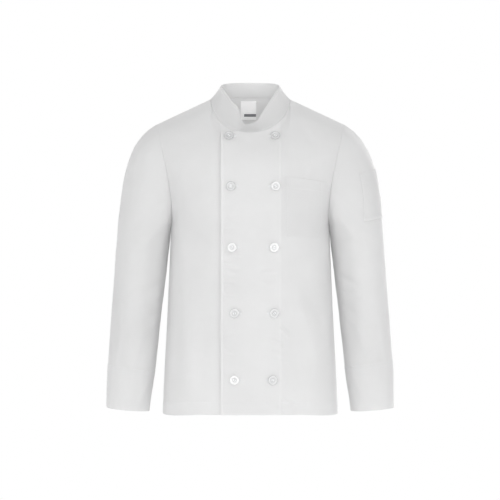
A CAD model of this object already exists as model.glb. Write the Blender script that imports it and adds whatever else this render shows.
import math

import bmesh
import bpy
import numpy as np
from mathutils import Matrix, Vector, noise
from mathutils.bvhtree import BVHTree


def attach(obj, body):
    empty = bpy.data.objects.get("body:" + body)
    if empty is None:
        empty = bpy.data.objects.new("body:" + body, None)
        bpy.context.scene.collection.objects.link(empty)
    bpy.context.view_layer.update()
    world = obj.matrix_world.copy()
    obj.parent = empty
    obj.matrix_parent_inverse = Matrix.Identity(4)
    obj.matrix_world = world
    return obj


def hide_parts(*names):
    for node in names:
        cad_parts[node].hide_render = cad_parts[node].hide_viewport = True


# A white double-breasted chef jacket, filled out as worn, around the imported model.
# Sizes are in millimetres until a mesh is made; +Z is up, the front faces -Y, +X is the wearer's left.

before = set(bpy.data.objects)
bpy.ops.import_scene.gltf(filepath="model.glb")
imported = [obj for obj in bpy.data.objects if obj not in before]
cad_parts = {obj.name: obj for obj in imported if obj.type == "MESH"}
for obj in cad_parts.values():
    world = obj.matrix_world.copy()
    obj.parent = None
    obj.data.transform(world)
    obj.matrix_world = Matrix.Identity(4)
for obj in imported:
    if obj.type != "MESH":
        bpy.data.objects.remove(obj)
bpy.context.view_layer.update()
mm = 0.001
print("frame loaded:", len(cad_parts), "nodes")


# Colours, nodes, numbers and curves

def linearColor(code):  # an sRGB hex colour as linear numbers
    parts = [int(code[k:k + 2], 16) / 255 for k in (1, 3, 5)]
    return tuple(p / 12.92 if p <= 0.04045 else ((p + 0.055) / 1.055) ** 2.4 for p in parts) + (1.0,)


def addNode(tree, kind, settings=None, values=None, links=None):
    node = tree.nodes.new(kind)
    for name, value in (settings or {}).items():
        setattr(node, name, value)
    for key, value in (values or {}).items():
        node.inputs[key].default_value = value
    for key, output in (links or {}).items():
        tree.links.new(output, node.inputs[key])
    return node


def smooth(t):
    t = np.clip(t, 0, 1)
    return t * t * (3 - 2 * t)


def along(start, end, value):
    return np.clip((np.asarray(value, float) - start) / (end - start), 0, 1)


def mix(a, b, t):
    return a + (b - a) * t


def newObject(name, data):
    made = bpy.data.objects.new(name, data)
    bpy.context.scene.collection.objects.link(made)
    return made


def unit(vectors):
    return vectors / np.maximum(np.linalg.norm(vectors, axis=-1, keepdims=True), 1e-9)


def runLengths(points):  # how far along the line each of its points is
    return np.r_[0, np.cumsum(np.linalg.norm(np.diff(points, axis=0), axis=1))]


def cubic(t, start, startSlope, end, endSlope):
    return ((2 * t**3 - 3 * t**2 + 1) * start + (t**3 - 2 * t**2 + t) * startSlope
            + (3 * t**2 - 2 * t**3) * end + (t**3 - t**2) * endSlope)


def tableOf(fields, *rows):  # rows of values under the names of their fields
    return [dict(zip(fields.split(), row)) for row in rows]


def tableValue(rows, key, field, value):  # a column of a table between its rows, on a cubic through them
    keys = np.array([row[key] for row in rows], float)
    values = np.array([row[field] for row in rows], float)
    before, after = np.r_[0, :len(rows) - 1], np.r_[1:len(rows), len(rows) - 1]
    slopes = (values[after] - values[before]) / (keys[after] - keys[before])
    value = np.asarray(value, float)
    k = np.clip(np.searchsorted(keys if keys[-1] > keys[0] else -keys,
                                value if keys[-1] > keys[0] else -value) - 1, 0, len(rows) - 2)
    width = keys[k + 1] - keys[k]
    t = (value - keys[k]) / width
    return cubic(t, values[k], width * slopes[k], values[k + 1], width * slopes[k + 1])


def curveThrough(rows, steps=2000):  # a smooth curve through a table, read at a share of its length
    p = np.array([[row["x"], row["y"], row["z"]] for row in rows], float)
    p = np.vstack([2 * p[0] - p[1], p, 2 * p[-1] - p[-2]])
    t = np.linspace(0, len(rows) - 1, steps + 1)
    k = np.minimum(t.astype(int), len(rows) - 2)
    w = (t - k)[:, None]
    a, b, c, d = p[k], p[k + 1], p[k + 2], p[k + 3]
    points = cubic(w, b, 0.5 * (c - a), c, 0.5 * (d - b))
    lengths = runLengths(points) / runLengths(points)[-1]

    def at(share):
        return np.stack([np.interp(share, lengths, points[:, axis]) for axis in range(3)], -1)
    return at, points


# The cut of the body: sections below the arm, middle lines, armholes, neck and shoulders

bodyCut = dict(
    sections=tableOf("level halfWidth front back", (-705, 199, 128, 123), (-620, 195.5, 126, 121),
                     (-522, 190, 123, 119), (-413, 185, 121, 118), (-340, 182, 121, 121),
                     (-285, 180, 120, 124)),
    frontMiddle=tableOf("y z", (-120, -285), (-118, -215), (-104, -140), (-70, -76)),
    backMiddle=tableOf("y z", (124, -285), (127, -190), (116, -90), (68, 13)),
    frontArmhole=tableOf("x y z", (180, 5, -285), (177.5, -38, -270), (177, -62, -232), (184, -70, -180),
                         (196, -62, -125), (207, -36, -80), (213, 8, -53)),
    backArmhole=tableOf("x y z", (180, 5, -285), (177, 50, -268), (175, 76, -225), (182, 86, -170),
                        (195, 78, -118), (206, 48, -76), (213, 8, -53)),
    underarmLevel=-285, sideSeamY=5, power=2.5,
    neckShare=8 / 15, cornerSpread=0.34, yokeStart=0.3, yokeEnd=0.85,
)
neckCut = dict(halfWidth=90, sideY=2, sideZ=4, frontY=-70, frontZ=-76, backY=68, backZ=13)
underarm = bodyCut["underarmLevel"]
hemLevel = bodyCut["sections"][0]["level"]
armholeAt = {}
armholeByLevel = {}
for facing, tableName in ((-1, "frontArmhole"), (1, "backArmhole")):
    armholeAt[facing], armholeByLevel[facing] = curveThrough(bodyCut[tableName])


def sectionSize(level, facing):  # half the width, and the depth of the front or back from the side seam
    halfWidth, front, back = (tableValue(bodyCut["sections"], "level", field, level)
                              for field in ("halfWidth", "front", "back"))
    return halfWidth, front + bodyCut["sideSeamY"] if facing < 0 else back - bodyCut["sideSeamY"]


def sectionY(x, level, facing):  # depth of the body below the arm
    halfWidth, reach = sectionSize(level, facing)
    share = np.minimum(np.abs(x) / halfWidth, 1)
    power = bodyCut["power"]
    return bodyCut["sideSeamY"] + facing * reach * (1 - share**power) ** (1 / power)


def sectionQuarter(level, facing, shares):  # points from the middle to the side seam at even shares
    halfWidth, reach = sectionSize(level, facing)
    angle = np.linspace(0, np.pi / 2, 400)
    power = 2 / bodyCut["power"]
    x = halfWidth * np.sin(angle) ** power
    y = bodyCut["sideSeamY"] + facing * reach * np.abs(np.cos(angle)) ** power
    lengths = np.r_[0, np.cumsum(np.hypot(np.diff(x), np.diff(y)))]
    lengths /= lengths[-1]
    return np.stack([np.interp(shares, lengths, x), np.interp(shares, lengths, y),
                     np.full_like(shares, level)], -1)


def neckSeam(angle, facing):
    share = np.cos(angle)
    endY = neckCut["frontY"] if facing < 0 else neckCut["backY"]
    endZ = neckCut["frontZ"] if facing < 0 else neckCut["backZ"]
    return np.stack([neckCut["halfWidth"] * np.sin(angle), mix(neckCut["sideY"], endY, share),
                     mix(neckCut["sideZ"], endZ, share)], -1)


def topEdge(share, facing):  # neck seam and then shoulder seam
    neckShare = bodyCut["neckShare"]
    neck = neckSeam(np.minimum(share / neckShare, 1) * np.pi / 2, facing)
    t = np.clip((share - neckShare) / (1 - neckShare), 0, 1)[..., None]
    side, shoulder = neckSeam(np.array(np.pi / 2), facing), armholeAt[-1](1.0)
    return np.where(share[..., None] <= neckShare, neck, mix(side, shoulder, t))


def softTopEdge(across, up, facing):  # its corner at the side neck is rounder in the lower rows
    spread = bodyCut["cornerSpread"] * (1 - up)
    last = topEdge(np.array(1.0), facing)

    def edgeAt(share):
        beyond = (share > 1)[..., None]
        inside = topEdge(np.abs(np.where(share > 1, 2 - share, share)), facing)
        inside[..., 0] *= np.where(share < 0, -1, 1)
        return np.where(beyond, 2 * last - inside, inside)

    def meanAt(share):
        return np.mean([edgeAt(share + spread * k / 5) for k in range(-5, 6)], axis=0)
    a = smooth(across)[..., None]
    startMiss = topEdge(np.zeros_like(across), facing) - meanAt(np.zeros_like(across))
    endMiss = last - meanAt(np.ones_like(across))
    return meanAt(across) + startMiss * (1 - a) + endMiss * a


def chestY(x, z, facing):
    middle = bodyCut["frontMiddle" if facing < 0 else "backMiddle"]
    reach = tableValue(middle, "z", "y", z) - bodyCut["sideSeamY"]
    curve = armholeByLevel[facing]
    edgeX, edgeY = np.interp(z, curve[:, 2], curve[:, 0]), np.interp(z, curve[:, 2], curve[:, 1])
    power = bodyCut["power"]
    edgeShare = np.clip((edgeY - bodyCut["sideSeamY"]) / reach, 0, 0.999)
    width = edgeX / (1 - edgeShare**power) ** (1 / power)
    share = np.minimum(np.abs(x) / width, 1)
    return bodyCut["sideSeamY"] + reach * (1 - share**power) ** (1 / power)


def upperHalf(across, up, facing):  # half of the chest or upper back
    middle = bodyCut["frontMiddle" if facing < 0 else "backMiddle"]

    def middleAt(share):
        z = mix(middle[0]["z"], middle[-1]["z"], share)
        return np.stack([np.zeros_like(z), tableValue(middle, "z", "y", z), z], -1)
    a, u = smooth(across)[..., None], smooth(up)[..., None]
    zero, one = np.zeros_like(up), np.ones_like(up)
    low = sectionQuarter(underarm, facing, np.clip(across, 0, 1))
    point = mix(low, softTopEdge(across, up, facing), u)
    middleBend = middleAt(up) - mix(middleAt(zero), middleAt(one), u)
    curve = armholeAt[facing]
    armholeBend = curve(up) - mix(curve(zero), curve(one), u)
    point = point + middleBend * (1 - a) + armholeBend * a
    slope = smooth(along(bodyCut["yokeStart"], bodyCut["yokeEnd"], up))
    section = chestY(point[..., 0], np.maximum(point[..., 2], underarm), facing)
    point[..., 1] = mix(section, point[..., 1], slope)
    return point


def upperAt(x, z, facing):  # the chest or upper back over a wanted x and z, by Newton steps
    x, z = np.broadcast_arrays(np.asarray(x, float), np.asarray(z, float))
    top = neckCut["frontZ"] if facing < 0 else neckCut["backZ"]
    across, up = np.clip(np.abs(x) / 200, 0, 1), along(underarm, top, z)
    step = 1e-3
    for _ in range(12):
        point = upperHalf(across, up, facing)
        byAcross = (upperHalf(across + step, up, facing) - point) / step
        byUp = (upperHalf(across, up + step, facing) - point) / step
        missX, missZ = np.abs(x) - point[..., 0], z - point[..., 2]
        area = byAcross[..., 0] * byUp[..., 2] - byUp[..., 0] * byAcross[..., 2]
        across = np.clip(across + (missX * byUp[..., 2] - byUp[..., 0] * missZ) / area, -0.1, 1.1)
        up = np.clip(up + (byAcross[..., 0] * missZ - missX * byAcross[..., 2]) / area, -0.1, 1.1)
    return upperHalf(across, up, facing)[..., 1]


def bodyY(x, z, facing):  # depth of the plain body over any x and z
    x, z = np.broadcast_arrays(np.asarray(x, float), np.asarray(z, float))
    low = sectionY(x, np.minimum(z, underarm), facing)
    if not (z > underarm).any():
        return low
    return np.where(z > underarm, upperAt(x, np.maximum(z, underarm), facing), low)


# Folds and creases

def crease(x, z, toX, toZ, width, out, end=0.25, bow=0):
    # a soft ridge, or a trough if out is below 0, between two places; end is the share that fades out at
    # each end, and bow is how far its middle is off the straight line
    return dict(x=x, z=z, toX=toX, toZ=toZ, width=width, out=out, end=end, bow=bow)


bodyFolds = {  # the broad folds that the solids have too, of the front (-1) and the back (1)
    -1: [crease(118, -430, 150, -690, 26, 3.5), crease(92, -470, 112, -700, 24, -3),
         crease(-128, -400, -142, -690, 28, 3.5), crease(-98, -450, -104, -700, 24, -3)],
    1: [crease(-70, -330, -88, -690, 30, 4), crease(-15, -380, -22, -690, 28, -4),
        crease(52, -340, 66, -690, 30, 4), crease(118, -400, 128, -690, 26, -3.5)],
}


def foldHeight(folds, across, up, acrossScale=1.0):
    height = np.zeros(np.broadcast(across, up).shape)
    for fold in folds:
        runX, runZ = (fold["toX"] - fold["x"]) * acrossScale, fold["toZ"] - fold["z"]
        fromX, fromZ = (across - fold["x"]) * acrossScale, up - fold["z"]
        length = math.hypot(runX, runZ)
        share = (fromX * runX + fromZ * runZ) / length**2
        away = (fromX * runZ - fromZ * runX) / length - fold["bow"] * np.sin(np.pi * np.clip(share, 0, 1))
        ends = smooth(along(0, fold["end"], share)) * smooth(along(1, 1 - fold["end"], share))
        height = height + fold["out"] * ends * np.exp(-((away / fold["width"]) ** 2))
    return height


def ripple(x, y, z, size, seed):  # soft uneven noise of a size in millimetres, from -1 to 1
    flat = np.stack(np.broadcast_arrays(x, y, z), -1).reshape(-1, 3) / size
    shape = np.broadcast(x, y, z).shape
    shift = Vector((seed * 7.31, seed * 3.77, seed * 5.13))
    return np.array([noise.noise(Vector(p) + shift) for p in flat.tolist()]).reshape(shape)


# Cloth walls

def gridNormals(grid, closed=False):
    if closed:
        acrossRun = np.roll(grid, -1, 1) - np.roll(grid, 1, 1)
    else:
        acrossRun = np.gradient(grid, axis=1)
    return unit(np.cross(acrossRun, np.gradient(grid, axis=0)))


def gridLengths(grid, closed=False):  # length of the cloth along each row, and up each column
    across = np.linalg.norm(np.diff(grid, axis=1), axis=-1)
    up = np.linalg.norm(np.diff(grid, axis=0), axis=-1)
    acrossLength = np.hstack([np.zeros((len(grid), 1)), np.cumsum(across, 1)])
    if closed:
        back = np.linalg.norm(grid[:, :1] - grid[:, -1:], axis=-1)
        acrossLength = np.hstack([acrossLength, acrossLength[:, -1:] + back])
    return acrossLength, np.vstack([np.zeros((1, grid.shape[1])), np.cumsum(up, 0)])


def linedPlaces(start, end, pitch, lines=(), nearby=(-1.6, -0.8, 0, 0.8, 1.6)):
    # even places from start to end, closer together beside the seams and stitched lines among them
    places = np.linspace(start, end, max(int(round(abs(end - start) / pitch)), 1) + 1)
    beside = [line + offset for line in lines for offset in nearby
              if min(start, end) + 0.3 < line + offset < max(start, end) - 0.3]
    kept = [p for k, p in enumerate(places)
            if k in (0, len(places) - 1) or all(abs(p - b) > 0.9 for b in beside)]
    return np.array(sorted(kept + beside, reverse=end < start))


clothSizes = dict(wall=1.3, patchWall=1.1, seamGap=0.1, rim=0.35, lapWidth=65, lapFade=22, underInset=2.5,
                  sideDrop=5.5)


def dropped(grid):  # the hem hangs a little lower at the sides than at the middle
    share = smooth(along(95, 198, np.abs(grid[..., 0]))) * smooth(along(-540, hemLevel, grid[..., 2]))
    return grid - clothSizes["sideDrop"] * share[..., None] * (0, 0, 1)


def clothObject(name, grid, flat, thickness=None, closed=False, seams=None):
    # A closed wall on a grid of outer points. The free edges are rounded. seams holds, for each point, the
    # direction towards the piece sewn on there, and the wall keeps to its own side of it.
    thickness = thickness or clothSizes["wall"]
    rows, columns = grid.shape[:2]
    normals = gridNormals(grid, closed)
    outer = grid.copy()
    offset = -thickness * normals
    sewn = np.zeros((rows, columns), bool)
    for towards in seams or []:
        known = np.linalg.norm(towards, axis=-1) > 0
        outer[known] -= towards[known] * clothSizes["seamGap"] / 2
        into = np.maximum((offset * towards).sum(-1, keepdims=True), 0)
        offset = np.where(known[..., None], offset - towards * into, offset)
        sewn |= known
    inner = outer + offset
    acrossWay, upWay = unit(np.gradient(grid, axis=1)), unit(np.gradient(grid, axis=0))

    # the ring of border points in order, with the direction out of the cloth at each
    low = [(0, j, -upWay[0, j]) for j in range(columns)]
    high = [(rows - 1, j, upWay[-1, j]) for j in range(columns)]
    if closed:
        rings = [low, high[::-1]]
    else:
        right = [(i, columns - 1, acrossWay[i, -1]) for i in range(1, rows)]
        left = [(i, 0, -acrossWay[i, 0]) for i in range(rows - 2, 0, -1)]
        rings = [low + right + high[::-1][1:] + left]
    vertices = [outer.reshape(-1, 3), inner.reshape(-1, 3)]
    uvs = flat[:, :columns].reshape(-1, 2)
    behind = rows * columns
    faces, faceUvs = [], []
    i, j = np.meshgrid(np.arange(rows - 1), np.arange(columns if closed else columns - 1), indexing="ij")
    i, j = i.ravel(), j.ravel()
    nextJ = (j + 1) % columns
    a, b, c, d = i * columns + j, i * columns + nextJ, (i + 1) * columns + nextJ, (i + 1) * columns + j
    quads = np.stack([a, b, c, d], 1)
    quadUvs = np.stack([flat[i, j], flat[i, j + 1], flat[i + 1, j + 1], flat[i + 1, j]], 1)
    faces += [quads, quads[:, ::-1] + behind]
    faceUvs += [quadUvs, quadUvs[:, ::-1]]
    count = 2 * behind
    for ring in rings:
        rim = []
        for row, column, out in ring:
            middle = (outer[row, column] + inner[row, column]) / 2
            bulge = 0.0 if sewn[row, column] else clothSizes["rim"]
            rim.append(middle + out * thickness * bulge)
        vertices.append(np.array(rim))
        places = np.array([row * columns + column for row, column, _ in ring])
        middles = np.arange(len(ring)) + count
        count += len(ring)
        following = np.roll(np.arange(len(ring)), -1)
        p, q, m, n = places, places[following], middles, middles[following]
        ringQuads = np.vstack([np.stack([q, p, m, n], 1), np.stack([n, m, p + behind, q + behind], 1)])
        faces.append(ringQuads)
        ringUvs = uvs[np.stack([q, p, p, q], 1)]
        faceUvs += [ringUvs, ringUvs]
    faces, faceUvs = np.vstack(faces), np.vstack(faceUvs)
    mesh = bpy.data.meshes.new(name)
    mesh.from_pydata((np.vstack(vertices) * mm).tolist(), [], faces.tolist())
    layer = mesh.uv_layers.new(name="cloth")
    layer.data.foreach_set("uv", (faceUvs.reshape(-1, 2) * mm).astype(np.float32).ravel())
    mesh.polygons.foreach_set("use_smooth", [True] * len(mesh.polygons))
    mesh.validate()
    mesh.update()
    mesh.set_sharp_from_angle(angle=math.radians(50))
    return newObject(name, mesh)


def trianglesOf(piece):
    return sum(len(polygon.vertices) - 2 for polygon in piece.data.polygons)


def surfaceTree(piece):
    mesh = piece.data
    return BVHTree.FromPolygons([v.co.copy() for v in mesh.vertices],
                                [tuple(p.vertices) for p in mesh.polygons])


def seamBands(distance, ridge=0.35, width=7.0):  # a seam lies in a small valley between two soft ridges
    return ridge * smooth(along(0, 2.2, distance)) * (1 - smooth(along(width, width + 6, distance)))


def stitchLine(distance, depth=0.3, width=1.1):  # a row of stitches draws the cloth in
    return -depth * np.exp(-((distance / width) ** 2))


def puckers(distance, place, height, reach, size, seed):  # small ripples across a row of stitches
    return height * np.exp(-((distance / reach) ** 2)) * ripple(place, distance * 0.25, 0 * place, size, seed)


def crumple(grid, seed):  # the unevenness of cloth that has been worn and pressed
    x, y, z = grid[..., 0], grid[..., 1], grid[..., 2]
    return (1.1 * ripple(x, y, z * 0.6, 62, seed) + 0.55 * ripple(x, y, z * 0.75, 27, seed + 3)
            + 0.16 * ripple(x, y, z, 10, seed + 5))


# The two fronts

frontCut = dict(
    pitch=3.3, lapEdgeStitch=5.0, hemStitch=27.0, hemStep=0.4, lapTopZ=-74, collarCross=16,
    rolledEdge=0.35, layerStep=1.2, layerFade=52, edgeSink=1.3, edgeSinkWidth=2.6,
    creases=[
        # short puckers beside the lap's edge
        crease(-62, -262, -22, -266, 3.6, 1.8, end=0.4), crease(-62, -296, -30, -300, 3.2, 1.7, end=0.4),
        crease(-63, -350, -14, -357, 3.6, 2.3, end=0.35),
        crease(-63, -365, -26, -370, 3.0, 1.8, end=0.35),
        crease(-63, -379, -18, -383, 3.4, 2.1, end=0.35),
        crease(-63, -394, -30, -398, 2.8, 1.7, end=0.35),
        crease(-63, -408, -24, -416, 3.4, 2.1, end=0.35),
        crease(-63, -423, -34, -428, 2.8, 1.7, end=0.35), crease(-62, -437, -26, -444, 3.2, 1.7, end=0.4),
        crease(-62, -520, -24, -526, 3.6, 1.4, end=0.4), crease(-61, -560, -34, -571, 3.2, 1.4, end=0.4),
        # the same by the other row of buttons
        crease(16, -391, 70, -386, 3.8, 2.1, end=0.35), crease(22, -413, 66, -409, 3.4, 1.8, end=0.35),
        crease(34, -352, 68, -349, 3.2, 1.4, end=0.4), crease(62, -508, 92, -534, 4.6, 2.5, end=0.35),
        crease(34, -534, 78, -553, 4.2, 2.3, end=0.35), crease(44, -562, 86, -569, 4.0, 2.1, end=0.35),
        crease(58, -580, 104, -600, 5.0, 1.8, end=0.4), crease(70, -664, 104, -692, 5.0, 2.5, end=0.35),
        crease(54, -686, 86, -700, 4.0, 1.8, end=0.4),
        # soft folds from the armholes and shoulders
        crease(-166, -238, -84, -158, 13, 1.3), crease(-166, -286, -84, -340, 16, -1.6),
        crease(-170, -262, -104, -262, 12, 1.2), crease(-92, -44, -150, -136, 13, -1.3),
        crease(-120, -160, -128, -420, 17, -1.4, bow=8), crease(170, -292, 92, -352, 13, -1.5),
        crease(172, -330, 118, -408, 14, 1.5), crease(98, -34, 162, -132, 13, -1.2),
        crease(92, -424, 156, -640, 13, 1.9, bow=-10), crease(116, -410, 176, -560, 11, -1.5, bow=-6),
        crease(84, -520, 126, -700, 10, 1.2, bow=6), crease(-84, -470, -96, -690, 13, 1.3, bow=6),
        crease(-160, -480, -168, -700, 12, -1.4), crease(0, -450, 14, -640, 20, 1.0),
        crease(-20, -130, -10, -300, 18, -0.7),
    ],
)
neckShare = bodyCut["neckShare"]
crossAngle = math.radians(frontCut["collarCross"])

# the cloth's length up the chest, round half the neck and along the shoulder, as the grid's lines take it
gridRuns = dict(chest=250, neck=133.3, shoulder=116.7, seamStitch=3.5)
chestStitch, shoulderStitch = (gridRuns[run] - gridRuns["seamStitch"] for run in ("chest", "shoulder"))
bodyLevels = linedPlaces(hemLevel, underarm, frontCut["pitch"],
                         lines=(hemLevel + 1, hemLevel + frontCut["hemStitch"]))
yokeShares = linedPlaces(0, gridRuns["chest"], frontCut["pitch"], lines=(chestStitch,)) / gridRuns["chest"]
neckShares = linedPlaces(0, gridRuns["neck"], frontCut["pitch"]) / gridRuns["neck"] * neckShare
shoulderShares = neckShare + (1 - neckShare) / gridRuns["shoulder"] * linedPlaces(
    0, gridRuns["shoulder"], frontCut["pitch"], lines=(shoulderStitch,))
halfShares = np.r_[neckShares, shoulderShares[1:]]


def towardsSleeve(share):  # the way from a panel to its sleeve, at a share of the armhole's height
    return unit(np.stack([np.ones_like(share), 0 * share, -0.58 * share**3], -1))


def withFolds(grid, facing):
    grid[..., 1] += facing * foldHeight(bodyFolds[facing], grid[..., 0], grid[..., 2])
    return grid


def evened(grid, rounds=220, reach=34):  # soft where the chest meets the part below, but for the armhole
    grid = grid.copy()
    fromSide = gridLengths(grid)[0]
    fromSide = fromSide[:, -1:] - fromSide
    weight = 0.5 * np.exp(-(((grid[..., 2] - underarm) / reach) ** 2)) * smooth(along(0, 26, fromSide))
    for _ in range(rounds):
        miss = (grid[:-2, :, :2] + grid[2:, :, :2]) / 2 - grid[1:-1, :, :2]
        grid[1:-1, :, :2] += weight[1:-1, :, None] * miss
    return grid


def plainHalf(facing):  # half a panel before its folds
    lower = np.stack([sectionQuarter(level, facing, halfShares) for level in bodyLevels[:-1]])
    across, up = np.meshgrid(halfShares, yokeShares)
    return np.vstack([lower, upperHalf(across, up, facing)])


def halfPanel(facing, side):
    return withFolds(evened(plainHalf(facing)) * (side, 1, 1), facing)


lapEdge = -clothSizes["lapWidth"]
lapEnds = linedPlaces(lapEdge, float(neckSeam(np.array(-crossAngle), -1)[0]), frontCut["pitch"],
                      lines=(lapEdge + 1, lapEdge + frontCut["lapEdgeStitch"]))
lapAngles = np.linspace(-crossAngle, 0, 9)
lapNecks = neckSeam(lapAngles, -1)
lapXs = np.r_[lapEnds[:-1], lapNecks[:-1, 0]]
lapEndCount = len(lapEnds) - 1
lapTops = np.r_[np.linspace(frontCut["lapTopZ"], lapNecks[0, 2], lapEndCount + 1)[:-1], lapNecks[:-1, 2]]
neckColumnAngles = np.r_[lapAngles[:-1], neckShares / neckShare * np.pi / 2]


def frontGrid(side):  # a whole front with its lap; the lap is on the right of the wearer if side is 1
    half = plainHalf(-1)
    x = np.broadcast_to(lapXs, (len(half), len(lapXs)))
    z = np.vstack([np.broadcast_to(bodyLevels[:-1, None], (len(bodyLevels) - 1, len(lapXs))),
                   mix(underarm, lapTops[None, :], yokeShares[:, None])])
    lap = np.stack([x, bodyY(x, z, -1), z], -1)
    return withFolds(evened(np.hstack([lap, half])) * (side, 1, 1), -1)


def frontSeams(grid, side):  # directions towards the sleeve, the back and the collar
    lastBody = len(bodyLevels) - 1
    sideSeam, topSeam = np.zeros_like(grid), np.zeros_like(grid)
    sideSeam[:lastBody, -1] = (0, 1, 0)
    sideSeam[lastBody:, -1] = towardsSleeve(yokeShares)
    shoulderStart = len(lapXs) + len(neckShares) - 1
    topSeam[-1, shoulderStart:] = (0, 1, 0)
    topSeam[-1, lapEndCount:shoulderStart + 1] = collarDirection(neckColumnAngles, -1, side)
    for seam in (sideSeam, topSeam):
        seam[..., 0] *= side
    return [sideSeam, topSeam]


collarCut = dict(
    halfWidth=68, frontY=-51, backY=58, topCross=6, flare=1.5, edgeStitch=5.0, rows=13,
    # heights of the top edge by distance from the middle: behind, on the over front, on the under front
    back=tableOf("x z", (0, 46), (38, 44.6), (54, 42.3), (62, 40), (66, 36.8), (68, 33.5)),
    over=tableOf("x z", (-8, -57), (0, -55.5), (9, -52), (17, -46), (26, -32.5), (36, -16), (50, 6), (60, 22),
                 (66, 31), (68, 33.5)),
    under=tableOf("x z", (-8, -57.5), (0, -57), (9, -55.5), (16, -50), (20, -39), (24, -24), (30, -13.5),
                  (40, -5), (50, 7.5), (60, 22.5), (66, 31), (68, 33.5)),
)


def collarEdge(angle, facing, side=1):
    x = collarCut["halfWidth"] * np.sin(angle)
    z = tableValue(collarCut["back" if facing > 0 else "over" if side > 0 else "under"], "x", "z", x)
    endY = collarCut["backY" if facing > 0 else "frontY"]
    return np.stack([x, mix(neckCut["sideY"], endY, np.cos(angle)), z], -1)


def collarTopAngle(angle):
    return np.where(angle < 0, angle * collarCut["topCross"] / frontCut["collarCross"], angle)


def collarDirection(angle, facing, side=1):
    return unit(collarEdge(collarTopAngle(angle), facing, side) - neckSeam(angle, facing))


def underDepth(ownX):  # how far the under front lies inside the over front
    past = along(clothSizes["lapWidth"], clothSizes["lapWidth"] + clothSizes["lapFade"], ownX)
    return clothSizes["underInset"] * (1 - smooth(past))


def hemRelief(distance, place, hemWidth, step, seed):  # a turned hem and the row of stitches that holds it
    return (step * (1 - smooth(along(hemWidth, hemWidth + 1.4, distance))) + stitchLine(distance - hemWidth)
            + puckers(distance - hemWidth, place, 0.75, 11, 8.5, seed)
            + puckers(distance, place, 0.5, 9, 14, seed + 1))


def panelRelief(grid, creases, fromSide, fromTop, seed, hemSeed):  # creases, seams and hem of a body panel
    x, z = grid[..., 0], grid[..., 2]
    fade = smooth(along(0, 24, fromSide)) * smooth(along(0, 20, fromTop))
    relief = fade * (foldHeight(creases, x, z) + crumple(grid, seed))
    relief += seamBands(fromSide) * smooth(along(0, 10, fromTop))
    relief += seamBands(fromTop) * smooth(along(0, 8, fromSide))
    return fade, relief + hemRelief(z - hemLevel, x, frontCut["hemStitch"], frontCut["hemStep"], hemSeed)


def frontPanel(side):
    grid = frontGrid(side)
    normals = gridNormals(grid) * side
    acrossLength, upLength = gridLengths(grid)
    x, z = grid[..., 0], grid[..., 2]
    fromSide, fromTop = acrossLength[:, -1:] - acrossLength, upLength[-1:] - upLength
    fade, relief = panelRelief(grid, frontCut["creases"], fromSide, fromTop, 4, 31)
    edge = acrossLength - frontCut["lapEdgeStitch"]
    rolled = frontCut["rolledEdge"] * (1 - smooth(along(-1.5, 1.2, edge)))
    relief += fade * (stitchLine(edge, 0.45) + rolled + puckers(edge, z, 0.6, 8, 9, 37))
    if side > 0:  # the edge of the front underneath shows through as a low step
        past = x - clothSizes["lapWidth"] - 1
        step = smooth(along(0, 4, past)) * (1 - smooth(along(4, frontCut["layerFade"], past)))
        relief -= frontCut["layerStep"] * step * fade
    else:
        grid = grid - normals * underDepth(x * side)[..., None]
        beside = (x + clothSizes["lapWidth"] + 3) / frontCut["edgeSinkWidth"]
        relief -= frontCut["edgeSink"] * np.exp(-beside**2) * fade  # it sinks beside the edge that lies on it
    seamRow = grid[-1, lapEndCount:len(lapXs) + len(neckShares)].copy()
    seams = frontSeams(grid, side)
    grid = dropped(grid + normals * relief[..., None])
    flat = np.stack([side * (acrossLength - acrossLength[:, len(lapXs)][:, None]), upLength], -1)
    if side < 0:
        grid, flat, seams = grid[:, ::-1], flat[:, ::-1], [seam[:, ::-1] for seam in seams]
    return grid, flat, seams, seamRow


overGrid, overFlat, overSeams, _ = frontPanel(1)
underGrid, underFlat, underSeams, underSeamRow = frontPanel(-1)
frontOver = clothObject("front_over_cloth", overGrid, overFlat, seams=overSeams)
frontUnder = clothObject("front_under_cloth", underGrid, underFlat, seams=underSeams)
# the front on top lies on another layer as far as the edge underneath, so it looks whiter there
layerTone = [float(1 - smooth(along(66.5, 70, v.co.x / mm))) for v in frontOver.data.vertices]
frontOver.data.attributes.new("doubled", "FLOAT", "POINT").data.foreach_set("value", layerTone)
overTree = surfaceTree(frontOver)
print("fronts:", overGrid.shape[:2])


# The back, plain, with the same kind of folds

backCut = dict(
    creases=[
        crease(-158, -240, -62, -172, 15, -2.7), crease(156, -246, 70, -168, 15, -2.7),
        crease(-160, -286, -84, -318, 14, 2.5), crease(160, -292, 92, -330, 14, 2.4),
        crease(-162, -330, -100, -420, 15, -2.7, bow=8), crease(158, -338, 96, -436, 15, -2.5, bow=-8),
        crease(-62, -26, 64, -30, 9, -1.5), crease(-110, -52, -156, -150, 13, -2.0),
        crease(112, -48, 158, -146, 13, -2.2), crease(0, -130, 8, -350, 17, -2.4),
        crease(-36, -180, -44, -400, 15, 2.0), crease(44, -200, 40, -380, 15, 1.9),
        crease(-134, -560, -60, -660, 12, 2.2), crease(104, -580, 30, -690, 12, 2.2),
        crease(-40, -430, -52, -700, 12, -2.0, bow=6), crease(92, -450, 98, -700, 12, 2.4, bow=-6),
        crease(-160, -450, -150, -690, 13, 2.5), crease(18, -470, 30, -690, 11, 2.0),
    ],
)


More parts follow.
